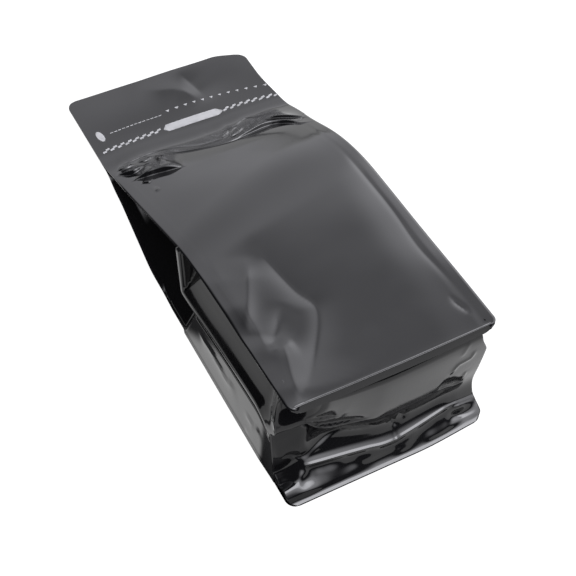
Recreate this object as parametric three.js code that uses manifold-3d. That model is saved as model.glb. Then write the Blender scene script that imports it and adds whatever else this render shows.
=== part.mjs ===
// A filled flat-bottom pouch of black film, lying on its back with its front panel up.
// Millimetres, +Z up. X runs across the panels and Y from the base towards the mouth.
// The origin is under the middle of the pouch, on the surface that it lies on.
//
// The pouch is one welded solid: a front and a back panel that end in seal flanges all round,
// the filled bag between them with its creased side gussets, and the base panel, which is
// set back between the flanges.

import * as THREE from "three";
import { LoftGeometry } from "three/addons/geometries/LoftGeometry.js";
import { mergeVertices } from "three/addons/utils/BufferGeometryUtils.js";
import Module from "manifold-3d";

const { clamp, lerp, smoothstep } = THREE.MathUtils;

// Driving dimensions

const PANEL_WIDTH = 140; // across the front panel, from flange edge to flange edge
const BASE_DEPTH = 96; // height of the front panel above the floor at the base
const MOUTH_Y = 332; // mouth edge, from the base edge of the front panel at y = 0
const SKIRT = 9; // reach of the back panel's base flange past the front panel's
const FLANGE = 7; // width of the seal flanges beyond the gussets
const FILM = 1; // thickness of a flange
const CORNER_RADIUS = 7; // die-cut corners of both panels
const FLAP_START = 266; // where the shoulder of the filled bag meets the empty mouth flap
const FLAP_HEIGHT = 32; // top of the flap above the floor
const FLAP_THICKNESS = 1.6; // both panels together where the pouch is empty

const HALF_WIDTH = PANEL_WIDTH / 2;
const SEAM_X = HALF_WIDTH - FLANGE;

// How the filled bag runs down to the flap

const FRONT_TAPER = 0.085; // fall of the front panel per millimetre towards the mouth
const SHOULDER_FALL = { left: 0.4, right: 0.56 }; // steeper on the right
const SHOULDER_ROUNDING = { left: 6, right: 16 };
const FLAP_ROUNDING = 6;
const FRONT_CROWN = 3; // swell of the front panel's middle over its edges
const LIFT_START = 172; // where the back panel leaves the floor
const LIFT_RISE = 0.45; // its rise per millimetre from there
const LIFT_ROUNDING = 8;
const LIFT_SPAN = { from: LIFT_START, to: LIFT_START + 40 };
const BACK_CROWN = 4; // sag of the back panel's middle where it is off the floor
const EMPTYING = { from: FLAP_START - 44, to: FLAP_START - 4 }; // the swell and the sag fade out here

// Folds and hollows of the front panel

const FOLD = { middle: 236, slant: 12, turnX: -4, turnWidth: 14, step: 2.2, width: 8 }; // across the shoulder
const FOLD_END = { from: 52, to: HALF_WIDTH, drop: 18 }; // its right end turns down the edge
const FOLD_FADE = { from: HALF_WIDTH - 14, to: HALF_WIDTH - 2 }; // it stops short of both edges
const LIP_DROOP = 2; // the base flange bends down
const HOLLOWS = [
  { x: -56, y: 104, acrossX: 12, alongY: 20, depth: 1.6 },
  { x: -58, y: 52, acrossX: 10, alongY: 22, depth: 1.4 },
  { x: 54, y: 112, acrossX: 9, alongY: 40, depth: 1.4 },
];

// Where the film lies askew

const DROOP = { drop: 7, x: { from: 45, to: HALF_WIDTH }, y: { from: 288, to: MOUTH_Y } }; // right mouth corner
const FLAP_PULL = 4; // the flap's right edge is pulled in by that curl
const MOUTH_SLANT = 1.2; // the mouth edge runs a little aslant
const FLAP_ASKEW = { from: FLAP_START - 4, to: FLAP_START + 40 };
const SKIRT_SLANT = 3.5; // the back panel's base flange is pulled in at the right
const SKIRT_SLANT_X = { from: 20, to: 80 };
const BACK_BOW = 0.9; // the back panel's left edge bows out beside the filled bag
const BACK_WAIST = 0.6; // and is narrower near the base
const BOW_SPAN = { rise: { from: 50, to: 120 }, fall: { from: 142, to: 192 } };
const WAIST_SPAN = { rise: { from: -SKIRT, to: 15 }, fall: { from: 30, to: 70 } };

// Side gussets: each has a crease along its middle

const CREASE_OUT = 8; // pushed out by the contents, beyond the seams
const CREASE_IN = 32; // folded in under the shoulder
const CREASE_FLIP = { from: 134, to: 166 }; // where the crease turns from out to in
const CREASE_CLOSES = { from: 236, to: 258 }; // where both panels pinch the gusset shut
const TAUTNESS = 0.8; // how far the pushed-out gusset is rounded rather than creased
const BOXY_POWER = 0.25; // the gusset is boxy at the base and round further on
const BOXY_SPAN = { from: 19, to: BASE_DEPTH };

// Base panel, measured from the front panel's base edge

const BASE_SETBACK = 4.5; // under the front flange
const BASE_LEAN = 0.1; // further set-back per millimetre downwards
const BASE_CROWN = 7; // swell of the middle
const HEEL = { height: 16, width: 7, reach: { edge: 1.2, middle: 4 } }; // ridge over the back flange
const HEEL_FOOT = { y: -1, z: -4 }; // where the panel turns out into the back flange

// The filled bag reaches into the panels, so that all join into one solid

const BAG = { from: 19, to: 256 };
const BAG_INSET = 2; // depth of the bag's top and bottom under the panels' outer faces
const BAG_LAP = 3; // extra thickness of the panels over the bag
const FLAP_LAP = 0.4; // extra thickness of the panels on the flap
const LAP_FADE = 3;
const LAP_END = { from: FLAP_START - 2, to: FLAP_START + 6 };
const BASE_OVERLAP = 3; // reach of the base panel's block into the bag
const BLOCK_INSET = 0.3; // the block's sides end just inside the bag's

// Mesh steps

const FRONT_COLUMNS = 20;
const BACK_COLUMNS = 10;
const BODY_STEP = 10;
const SHOULDER_STEP = 5;
const CORNER_STEPS = 4;
const SIDE_STEPS = 10;
const BASE_ROWS = 16;
const BASE_ROW_POWER = 1.4; // rows are closer together at the heel

// Shared formulas

function smoothMin(a, b, width) {
  const h = clamp(0.5 + (0.5 * (b - a)) / width, 0, 1);
  return lerp(b, a, h) - width * h * (1 - h);
}

function smoothMax(a, b, width) {
  return -smoothMin(-a, -b, width);
}

// 0 before a span, 1 after it
function past(value, span) {
  return smoothstep(value, span.from, span.to);
}

// 0 at both ends, 1 between the rise and the fall
function between(value, span) {
  return past(value, span.rise) - past(value, span.fall);
}

// 1 at the middle of the panel, 0 at its edges
function crown(x) {
  return 1 - Math.min(1, (x / HALF_WIDTH) ** 2);
}

// Evenly spaced places from one to the other, both included
function spread(from, to, steps) {
  return Array.from({ length: steps + 1 }, (_, i) => lerp(from, to, i / steps));
}

// Surfaces of the two panels

// The flap's own height: level, with its right corner hanging at the mouth
function flapHeight(x, y) {
  return FLAP_HEIGHT - DROOP.drop * past(x, DROOP.x) * past(y, DROOP.y);
}

// Where the fold across the shoulder lies: nearer the mouth on the left
function foldLine(x) {
  const aslant = FOLD.slant * Math.tanh((x - FOLD.turnX) / FOLD.turnWidth);
  return FOLD.middle - aslant - FOLD_END.drop * past(x, FOLD_END);
}

// A ridge on the filled side of the fold and a valley on its mouth side
function shoulderFold(x, y) {
  const across = (2 * (y - foldLine(x))) / FOLD.width;
  return -FOLD.step * across * Math.exp(0.5 - across ** 2 / 2) * (1 - past(Math.abs(x), FOLD_FADE));
}

function hollowDepth(x, y) {
  const depthOf = (h) => h.depth * Math.exp(-(((x - h.x) / h.acrossX) ** 2) - ((y - h.y) / h.alongY) ** 2);
  return HOLLOWS.reduce((depth, hollow) => depth + depthOf(hollow), 0);
}

// Upper surface of the front panel
function frontHeight(x, y) {
  const share = (x + HALF_WIDTH) / PANEL_WIDTH;
  const fall = lerp(SHOULDER_FALL.left, SHOULDER_FALL.right, share);
  const rounding = lerp(SHOULDER_ROUNDING.left, SHOULDER_ROUNDING.right, share);
  const filled = BASE_DEPTH - FRONT_TAPER * y;
  const shoulder = FLAP_HEIGHT + fall * (FLAP_START - y);
  const film = smoothMax(smoothMin(filled, shoulder, rounding), flapHeight(x, y), FLAP_ROUNDING);
  const swell = FRONT_CROWN * crown(x) * (1 - past(y, EMPTYING));
  const lip = LIP_DROOP * (1 - smoothstep(y, 0, FLANGE)) * smoothstep(HALF_WIDTH - Math.abs(x), 0, FLANGE);
  return film + swell + shoulderFold(x, y) - hollowDepth(x, y) - lip;
}

// Lower surface of the back panel: flat on the floor, then rising to the flap
function backHeight(x, y) {
  const onFloor = y < LIFT_START - LIFT_ROUNDING / LIFT_RISE;
  const sag = BACK_CROWN * crown(x) * past(y, LIFT_SPAN) * (1 - past(y, EMPTYING));
  const rising = smoothMax(0, LIFT_RISE * (y - LIFT_START) - sag, LIFT_ROUNDING);
  return onFloor ? 0 : smoothMin(rising, flapHeight(x, y) - FLAP_THICKNESS, FLAP_ROUNDING);
}

// Half width of a panel whose ends have die-cut round corners
function panelHalfWidth(y, start, end) {
  const inset = CORNER_RADIUS - Math.min(CORNER_RADIUS, y - start, end - y);
  return HALF_WIDTH - CORNER_RADIUS + Math.sqrt(CORNER_RADIUS ** 2 - inset ** 2);
}

// Stations along the bag, closer together over the shoulder
function bagRows(start, end) {
  const rows = [];
  let y = start;
  while (y < end - SHOULDER_STEP / 2) {
    rows.push(y);
    y += y > LIFT_START && y < FLAP_START ? SHOULDER_STEP : BODY_STEP;
  }
  return rows;
}

// Stations along a panel, closer together round its corners
function panelRows(start, end) {
  const turns = spread(0, Math.PI / 2, CORNER_STEPS);
  return [
    ...turns.map((turn) => start + CORNER_RADIUS * (1 - Math.cos(turn))),
    ...bagRows(start + CORNER_RADIUS + BODY_STEP / 2, end - CORNER_RADIUS),
    ...turns.map((turn) => end - CORNER_RADIUS * (1 - Math.sin(turn))),
  ];
}

// A point of the film, shifted in its plane where the flap and the base flange lie askew
function filmPoint(x, y, z) {
  const onFlap = past(y, FLAP_ASKEW);
  const onSkirt = 1 - smoothstep(y, -SKIRT, SKIRT);
  const pull = FLAP_PULL * smoothstep(x, 0, HALF_WIDTH) * onFlap;
  const slant = SKIRT_SLANT * past(x, SKIRT_SLANT_X) * onSkirt - MOUTH_SLANT * (x / HALF_WIDTH) * onFlap;
  return new THREE.Vector3(x - pull, y + slant, z);
}

// How far the back panel's left half is drawn outwards
function backBow(x, y) {
  const outwards = BACK_BOW * between(y, BOW_SPAN) - BACK_WAIST * between(y, WAIST_SPAN);
  return outwards * smoothstep(-x, 0, HALF_WIDTH);
}

// A closed ring of points: along the upper surface from left to right, back along the lower one
function panelSection(y, halfWidth, columns, upper, lower) {
  return [
    ...spread(-halfWidth, halfWidth, columns).map((x) => filmPoint(x, y, upper(x, y))),
    ...spread(halfWidth, -halfWidth, columns).map((x) => filmPoint(x, y, lower(x, y))),
  ];
}

// Extra thickness of a panel inside its flanges, from a place near the base to the mouth
function lap(x, y, start) {
  const overBag = smoothstep(SEAM_X - 1 - Math.abs(x), 0, LAP_FADE) * smoothstep(y, start, start + LAP_FADE);
  const beforeFlap = 1 - past(y, LAP_END);
  return Math.max(BAG_LAP * overBag * beforeFlap, FLAP_LAP * (1 - beforeFlap));
}

function frontPanel() {
  const underside = (x, y) => frontHeight(x, y) - FILM - lap(x, y, BASE_SETBACK - 2);
  const sections = panelRows(0, MOUTH_Y).map((y) =>
    panelSection(y, panelHalfWidth(y, 0, MOUTH_Y), FRONT_COLUMNS, frontHeight, underside),
  );
  return new LoftGeometry(sections, { capStart: true, capEnd: true });
}

function backPanel() {
  const upper = (x, y) => backHeight(x, y) + FILM + lap(x, y, BAG.from - LAP_FADE - 1);
  const sections = panelRows(-SKIRT, MOUTH_Y).map((y) =>
    panelSection(y, panelHalfWidth(y, -SKIRT, MOUTH_Y), BACK_COLUMNS, upper, backHeight),
  );
  for (const point of sections.flat()) {
    point.x -= backBow(point.x, point.y);
  }
  return new LoftGeometry(sections, { capStart: true, capEnd: true });
}

// The filled bag with its side gussets

// How far the gusset's crease stands out from its seams; negative where it is folded in
function creaseReach(y) {
  return lerp(CREASE_OUT, -CREASE_IN, past(y, CREASE_FLIP)) * (1 - past(y, CREASE_CLOSES));
}

// Half width of the bag at a share of its height: 0 and 1 are the seams, one half is the crease
function gussetHalfWidth(share, y) {
  const reach = creaseReach(y);
  const creased = 1 - Math.abs(2 * share - 1);
  const taut = Math.sin((creased * Math.PI) / 2) ** lerp(BOXY_POWER, 1, past(y, BOXY_SPAN));
  return SEAM_X + reach * (reach > 0 ? lerp(creased, taut, TAUTNESS) : creased);
}

// A closed ring round the bag: over the top, down the right gusset, back under, up the left one
function bagSection(y) {
  const top = (x) => frontHeight(x, y) - BAG_INSET;
  const bottom = (x) => backHeight(x, y) + BAG_INSET;
  const gusset = (side, share) => {
    const seam = side * SEAM_X;
    return new THREE.Vector3(side * gussetHalfWidth(share, y), y, lerp(bottom(seam), top(seam), share));
  };
  const shares = spread(0, 1, SIDE_STEPS).slice(1, -1);
  return [
    ...spread(-SEAM_X, SEAM_X, FRONT_COLUMNS).map((x) => new THREE.Vector3(x, y, top(x))),
    ...shares.toReversed().map((share) => gusset(1, share)),
    ...spread(SEAM_X, -SEAM_X, BACK_COLUMNS).map((x) => new THREE.Vector3(x, y, bottom(x))),
    ...shares.map((share) => gusset(-1, share)),
  ];
}

function filledBag() {
  const rows = [...bagRows(BAG.from, BAG.to), BAG.to];
  return new LoftGeometry(rows.map(bagSection), { capStart: true, capEnd: true });
}

// The base panel

// Where its surface lies along Y, at a place across it and a height
function basePanelY(x, z) {
  const middle = crown(x);
  const swell = BASE_CROWN * middle * Math.sin((z / BASE_DEPTH) * Math.PI);
  const heelReach = lerp(HEEL.reach.edge, HEEL.reach.middle, middle);
  const heel = heelReach * Math.exp(-(((z - HEEL.height) / HEEL.width) ** 2));
  const upright = BASE_SETBACK + BASE_LEAN * (BASE_DEPTH - z) - swell - heel;
  return lerp(HEEL_FOOT.y, upright, smoothstep(z, HEEL_FOOT.z, HEEL.height));
}

// The block between that surface and the start of the filled bag
function basePanel() {
  const rear = BAG.from + BASE_OVERLAP;
  const rearWidth = SEAM_X - BASE_OVERLAP;
  const sections = spread(0, 1, BASE_ROWS).map((step) => {
    const share = step ** BASE_ROW_POWER;
    const halfWidth = gussetHalfWidth(share, BAG.from);
    const point = (x, y) => new THREE.Vector3(x, y, lerp(FILM / 2, frontHeight(x, y) - FILM / 2, share));
    return [
      ...spread(-halfWidth, halfWidth, FRONT_COLUMNS).map((x) => point(x, basePanelY(x, share * BASE_DEPTH))),
      point(halfWidth - BLOCK_INSET, BAG.from + BLOCK_INSET),
      ...spread(rearWidth, -rearWidth, FRONT_COLUMNS).map((x) => point(x, rear)),
      point(BLOCK_INSET - halfWidth, BAG.from + BLOCK_INSET),
    ];
  });
  return new LoftGeometry(sections, { capStart: true, capEnd: true });
}

// Joining the pieces into one solid

const wasm = await Module();
wasm.setup();

function solidOf(geometry) {
  const bare = new THREE.BufferGeometry();
  bare.setAttribute("position", geometry.getAttribute("position"));
  bare.setIndex(geometry.getIndex());
  const merged = mergeVertices(bare, 1e-4);
  return new wasm.Manifold(
    new wasm.Mesh({
      numProp: 3,
      vertProperties: new Float32Array(merged.attributes.position.array),
      triVerts: new Uint32Array(merged.index.array),
    }),
  );
}

function geometryOf(solid) {
  const { vertProperties, triVerts } = solid.getMesh();
  const geometry = new THREE.BufferGeometry();
  geometry.setAttribute("position", new THREE.BufferAttribute(vertProperties, 3));
  geometry.setIndex(new THREE.BufferAttribute(triVerts, 1));
  geometry.computeVertexNormals();
  return geometry;
}

const welded = [frontPanel(), backPanel(), filledBag(), basePanel()]
  .map(solidOf)
  .reduce((whole, piece) => whole.add(piece));

const blackFilm = new THREE.MeshStandardMaterial({ color: 0x0b0b0d, roughness: 0.22, metalness: 0 });

const pouch = new THREE.Mesh(geometryOf(welded), blackFilm);
pouch.name = "pouch";
pouch.geometry.computeBoundingBox();
const { min, max } = pouch.geometry.boundingBox;
pouch.position.set(-(min.x + max.x) / 2, -(min.y + max.y) / 2, -min.z);

const part = new THREE.Group();
part.name = "flat_bottom_pouch";
part.add(pouch);

export default part;
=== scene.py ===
"""A filled flat-bottom pouch of glossy black film, lying on its back on a pale studio floor.

Shapes are worked out in millimetres: X across the panels, Y from the front panel's base edge towards the
mouth, Z up from the floor. They become metres of the frame when a mesh is made.
"""

import math
from typing import NamedTuple

import bpy
import numpy as np
from bpy.props import FloatProperty, FloatVectorProperty, PointerProperty
from mathutils import Matrix, Vector


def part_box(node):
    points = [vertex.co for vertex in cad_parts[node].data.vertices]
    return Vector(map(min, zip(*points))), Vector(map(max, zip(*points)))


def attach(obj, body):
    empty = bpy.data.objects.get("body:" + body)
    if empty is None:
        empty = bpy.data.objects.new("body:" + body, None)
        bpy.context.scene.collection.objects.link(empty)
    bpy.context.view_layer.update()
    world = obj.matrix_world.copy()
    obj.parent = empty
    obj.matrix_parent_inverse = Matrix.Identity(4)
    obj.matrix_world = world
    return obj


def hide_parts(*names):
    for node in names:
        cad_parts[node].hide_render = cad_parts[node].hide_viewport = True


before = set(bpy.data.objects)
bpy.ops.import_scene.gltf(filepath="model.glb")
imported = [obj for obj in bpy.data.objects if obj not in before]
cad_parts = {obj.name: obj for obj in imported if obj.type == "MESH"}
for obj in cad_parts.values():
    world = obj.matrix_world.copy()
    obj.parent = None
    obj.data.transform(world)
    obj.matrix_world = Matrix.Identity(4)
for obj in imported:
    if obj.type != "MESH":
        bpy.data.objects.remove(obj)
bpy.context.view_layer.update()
POUCH_LOW, POUCH_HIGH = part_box("pouch")

bl_info = {
    "name": "Flat-bottom pouch",
    "version": (1, 0, 0),
    "blender": (4, 5, 0),
    "location": "View3D > Sidebar > Pouch",
    "description": "Builds the film panels and the print of a filled flat-bottom pouch, and its studio",
    "category": "Object",
}

MM = 0.001

# The pouch's main sizes, as the frame has them

FLANGE = 7
SKIRT = 9  # reach of the back panel's base flange past the front panel's
CREASE_PROUD = 1  # the frame's gussets stand this far out of its flanges
HALF_WIDTH = (POUCH_HIGH.x - POUCH_LOW.x) / MM / 2 - CREASE_PROUD
SEAM_X = HALF_WIDTH - FLANGE
BASE_EDGE_Y = POUCH_LOW.y / MM + SKIRT  # the front panel's base edge in the frame
BASE_DEPTH = 96
MOUTH_Y = 332
CORNER_RADIUS = 7
FLAP_START = 266
FLAP_HEIGHT = 32
FLAP_FILMS = 0.9  # from the outer face of one panel to that of the other on the flap

# How the filled bag runs down to the flap

FRONT_TAPER = 0.085
SHOULDER_FALL = (0.40, 0.56)  # left, right
SHOULDER_ROUNDING = (6, 16)
FLAP_ROUNDING = 4
FRONT_CROWN = 2.4
FRONT_CROWN_START = (0, 110)
LIFT_START = 172
LIFT_RISE = 0.45
LIFT_ROUNDING = 8
LIFT_SPAN = (LIFT_START, LIFT_START + 40)
BACK_CROWN = 4
FLANGE_DIP = 6  # the back panel's side flanges hang off the floor
FLANGE_DIP_Y = (LIFT_START - 4, LIFT_START + 26)
FLANGE_DIP_END = (FLAP_START - 22, FLAP_START - 2)
EMPTYING = (FLAP_START - 44, FLAP_START - 4)
FLAP_TILT = 0.025  # the flap hangs towards the mouth
CORNER_PULL = 5  # the right mouth corner is drawn in
CORNER_PULL_X = (45, HALF_WIDTH)
CORNER_PULL_Y = (300, MOUTH_Y)
FLAP_PULL = 4
MOUTH_SLANT = 1.2
FLAP_ASKEW = (FLAP_START - 4, FLAP_START + 40)
SKIRT_SLANT = 3.5
SKIRT_SLANT_X = (20, 80)


# Formulas that the panels share

CURVE_STEPS = 8
RAMP_EASE = 0.3  # share of a smooth step in a nearly straight one
NARROWEST_STEP = 0.25  # a step is drawn in to this share of its width where it runs out
RIDGE_ROUNDING = 0.25  # of a ridge's width
MOST_RIDGE_ROUNDING = 0.8
RIPPLE_STRETCH = (0.7, 1.5)  # shortest and longest wave, of a given length


def mix(first, second, share):
    """The first value at share 0, the second at share 1."""
    return first + (second - first) * share


def past(value, span):
    """0 before a span, 1 after it, smooth between."""
    share = np.clip((value - span[0]) / (span[1] - span[0]), 0, 1)
    return share * share * (3 - 2 * share)


def between(value, start, end):
    """0 before a first span, 1 between it and a second, 0 after that, smooth within both."""
    return past(value, start) * (1 - past(value, end))


def ramp(value, span):
    """0 before a span, 1 after it, nearly straight between."""
    share = np.clip((value - span[0]) / (span[1] - span[0]), 0, 1)
    return mix(share, past(value, span), RAMP_EASE)


def bump(value, middle, width):
    """A soft hump of height 1."""
    return np.exp(-(((value - middle) / width) ** 2))


def smooth_min(first, second, width):
    """The lower of two heights, rounded where they cross."""
    share = np.clip(0.5 + 0.5 * (second - first) / width, 0, 1)
    return mix(second, first, share) - width * share * (1 - share)


def smooth_max(first, second, width):
    """The higher of two heights, rounded where they cross."""
    return -smooth_min(-first, -second, width)


def crown(x):
    """1 at the middle of a panel, 0 on its side seals."""
    return (1 - np.minimum(1, (x / SEAM_X) ** 4)) ** 2


def points_at(x, y, z):
    """An array of points from their coordinates."""
    return np.stack(np.broadcast_arrays(x, y, z), axis=-1)


class Crease(NamedTuple):
    """A fold line in the film, by places on the panel."""

    route: tuple
    height: float
    width: float = 2.0
    recovery: float = 0.0  # a step up on the route's left settles over this length; 0 is a ridge
    fade: float = 0.3  # share of the route over which each end runs out
    lean: float = 1.0  # a ridge's left side is this many times as wide as its right


def spline_span(knots, share):
    """Points between the middle two of four knots, on a Catmull-Rom curve."""
    first, start, end, last = knots
    slope = end - first
    bend = 2 * first - 5 * start + 4 * end - last
    turn = 3 * start - first - 3 * end + last
    return 0.5 * (2 * start + slope * share + bend * share**2 + turn * share**3)


def flowing(control, steps):
    """Points or rows of points on smooth curves through a few, with so many steps to each span."""
    control = np.asarray(control, float)
    knots = np.concatenate([[2 * control[0] - control[1]], control, [2 * control[-1] - control[-2]]])
    spans = []
    for i, count in enumerate(steps):
        share = np.linspace(0, 1, count, endpoint=False).reshape(-1, *[1] * (control.ndim - 1))
        spans.append(spline_span(knots[i:i + 4], share))
    return np.concatenate(spans + [control[-1:]])


def curve_through(places):
    """Points of a smooth curve through a few places."""
    places = np.asarray(places, float)
    return places if len(places) < 3 else flowing(places, [CURVE_STEPS] * (len(places) - 1))


def profile(value, places):
    """A smooth curve through a few (value, height) places, read at any values."""
    points = curve_through(places)
    return np.interp(value, points[:, 0], points[:, 1])


def from_route(u, v, route):
    """Signed distance from a route, positive on its left, and the share of the way along it."""
    points = curve_through(route)
    steps = np.diff(points, axis=0)
    lengths = np.hypot(steps[:, 0], steps[:, 1])
    starts = np.concatenate([[0], np.cumsum(lengths)])
    nearest = np.full(u.shape, np.inf)
    signed = np.zeros(u.shape)
    share = np.zeros(u.shape)
    for point, step, length, start in zip(points, steps, lengths, starts):
        on_step = np.clip(((u - point[0]) * step[0] + (v - point[1]) * step[1]) / length**2, 0, 1)
        off_u = u - point[0] - on_step * step[0]
        off_v = v - point[1] - on_step * step[1]
        distance = np.hypot(off_u, off_v)
        closer = distance < nearest
        side = np.where(step[0] * off_v - step[1] * off_u < 0, -1, 1)
        signed = np.where(closer, side * distance, signed)
        share = np.where(closer, (start + on_step * length) / starts[-1], share)
        nearest = np.where(closer, distance, nearest)
    return signed, share


def crease_height(u, v, crease):
    """How far a crease lifts the film."""
    distance, share = from_route(u, v, crease.route)
    ends = between(share, (0, crease.fade), (1 - crease.fade, 1))
    if crease.recovery:
        narrowed = distance / np.maximum(ends, NARROWEST_STEP)
        step = ramp(narrowed, (-crease.width / 2, crease.width / 2))
        return crease.height * ends * step * np.exp(-np.maximum(distance, 0) / crease.recovery)
    rounding = min(RIDGE_ROUNDING * crease.width, MOST_RIDGE_ROUNDING)
    width = np.where(distance > 0, crease.width * crease.lean, crease.width)
    return crease.height * ends * np.exp((rounding - np.hypot(distance, rounding)) / width)


def creased(u, v, creases):
    """How far several creases lift the film together."""
    return sum(crease_height(u, v, crease) for crease in creases)


def ripples(u, v, length, seed, count=7):
    """Soft unevenness of about unit height with waves of about one length."""
    draw = np.random.default_rng(seed)
    total = np.zeros(np.broadcast(u, v).shape)
    for turn, stretch, phase in zip(draw.uniform(0, math.pi, count), draw.uniform(*RIPPLE_STRETCH, count),
                                    draw.uniform(0, math.tau, count)):
        waves = (u * math.cos(turn) + v * math.sin(turn)) / (length * stretch)
        total += np.sin(math.tau * waves + phase)
    return total / math.sqrt(count)


# Surfaces of the two large panels

SEAL_PUFF = 0.15  # the panel swells this much inside its seals
SEAL_PUFF_SPAN = (0, 6)
FRONT_UNEVEN = 0.16
FRONT_UNEVEN_LENGTH = 46
FLANGE_DROOP = 0.1  # slope of the side flanges past the base
FLANGE_DROOP_Y = (30, 75)
EDGE_ROLL = 0.6  # the panel's cut edges turn down this much
EDGE_ROLL_SPAN = 0.9
LIP_FOLD_Y = 2.1  # the front panel's base flange is bent down along this line
LIP_SLOPE = 2.0
LIP_CURL = 0.15
LIP_ROUNDING = 0.12
LIP_FADE = (0, 10)
LIP_ROLL = 0.35  # the panel starts to bend this far above the fold
LIP_ROLL_LENGTH = 4

# Rows of the large panels along Y as (start, end, step), and columns as shares of the half width
FRONT_ROWS = ((0, 1.8, 0.3), (1.8, 2.4, 0.1), (2.4, 12, 0.9), (12, 200, 2.6), (200, 222, 1.2),
              (222, 264, 0.38), (264, 325, 2.2), (325, MOUTH_Y, 0.7))
FRONT_COLUMNS = (-0.986, 0.986, 154)  # start, end, count
FRONT_EDGE_COLUMNS = np.array([0.991, 0.9955, 1])
BACK_ROWS = ((-SKIRT, 2, 0.6), (2, 150, 3), (150, 325, 1.5), (325, MOUTH_Y, 0.6))
BACK_COLUMNS = (1, -1, 72)

# Folds of the front panel, by x and y. A fold with a recovery steps up on the left of its route.
SHOULDER_FOLDS = (
    Crease(((-37, 259), (-24, 249.5), (-12, 243.5), (2, 238.5), (14, 236), (26, 238), (40, 240), (52, 235)),
           1.0, 0.7, 8, 0.15),
    Crease(((10, 236), (26, 238), (40, 240), (47, 238.5), (52.5, 235), (56, 231), (59, 226), (70, 222)),
           3.2, 1.8, 10, 0.45),
    Crease(((-61, 258.7), (-47, 260.6), (-34, 261), (-21, 256.5), (-11, 248), (-4, 245), (10, 244.5),
            (18, 250)), 0.7, 0.7, 8, 0.12),
    Crease(((12, 256), (20, 257.5), (27, 258.5), (35, 262.5), (44, 259), (54, 257), (62, 252)),
           0.8, 0.8, 8, 0.2),
    Crease(((38, 250), (50, 247), (60, 238), (70, 230)), 2.4, 1.5, 8, 0.45),
)
SHOULDER_CRUMPLES = (
    Crease(((-63, 236), (-52, 234.5), (-43, 232.5), (-26, 226)), 5.4, 2.8, 9, 0.4),
    Crease(((-37, 257), (-37.5, 250), (-38.5, 243), (-42, 236)), 3.6, 2.2, 5, 0.4),
    Crease(((-46, 250), (-49, 244), (-52, 238)), 2.0, 1.6, 4, 0.4),
    Crease(((-68, 250), (-61, 246), (-56, 244), (-47, 247)), 4.0, 2.2, 4, 0.4),
    Crease(((-65, 255), (-58, 253), (-52, 254)), 1.6, 1.2, 4, 0.25),
    Crease(((-50, 255), (-44, 253), (-38, 256)), 1.2, 1.0, 4, 0.25),
    Crease(((-58, 229), (-53, 225)), 1.6, 1.2, 3, 0.3),
    Crease(((-55, 213), (-51.5, 213.5)), 1.2, 1.0, 2, 0.4),
    Crease(((8, 246), (15, 249), (20, 256)), 1.8, 1.1, 3, 0.3),
    Crease(((17, 247), (21, 252), (27, 256)), 1.0, 0.9, 4, 0.3),
    Crease(((12, 242), (21, 244), (30, 251)), 1.6, 1.1, 3, 0.3),
)
SIDE_FOLDS = (
    Crease(((62, 190), (61, 150), (61, 108), (59, 76), (61, 51), (62, 34)), -0.45, 2.4, 0, 0.25),
    Crease(((54.3, 31.5), (55.6, 25), (59, 16)), -0.6, 1.1, 0, 0.3),
    Crease(((-43, 46), (-53, 46), (-61, 48)), 0.8, 1.4, 5, 0.3),
)
FACETS = (  # flat places that slope to the right, from a ridge or to a valley
    Crease(((-60.5, 60), (-60.5, 92), (-60, 128)), 1.5, 7, 0, 0.35, 1.5),
    Crease(((-66, 60), (-53.5, 85), (-38, 117)), 2.2, 10, 0, 0.35, 1.3),
    Crease(((-62, 36), (-60, 58), (-58, 80)), 1.3, 9, 0, 0.4, 1.3),
    Crease(((-36, 75), (-47.4, 57.3), (-62, 42)), -1.4, 7, 0, 0.4, 1.5),
    Crease(((-65, -6), (-57, 24), (-47, 56)), 2.1, 14, 0, 0.35, 1.3),
    Crease(((-30, 134), (-28, 105), (-24, 80), (-19, 60), (-36, 32), (-64, 2)), -2.8, 14, 0, 0.3, 1.2),
)
FLAP_FACETS = (
    Crease(((20, 294), (7, 311), (-4.5, 317), (-20, 326)), 1.1, 7, 0, 0.4, 1.5),
    Crease(((15, 330), (21, 309), (25, 290)), -0.9, 7, 0, 0.4, 1.5),
)


def flap_height(x, y):
    """Upper surface of the empty flap."""
    return FLAP_HEIGHT - FLAP_TILT * (y - FLAP_START) + creased(x, y, FLAP_FACETS)


def lip_drop(x, y):
    """How far the bent flange at the base edge lies below the panel."""
    before_fold = smooth_max(LIP_FOLD_Y - y, 0, LIP_ROUNDING)
    bent = LIP_SLOPE * before_fold + LIP_CURL * before_fold**2
    roll = LIP_ROLL * np.exp((LIP_FOLD_Y - np.maximum(y, LIP_FOLD_Y)) / LIP_ROLL_LENGTH)
    return (bent + roll) * past(HALF_WIDTH - np.abs(x), LIP_FADE)


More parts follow.
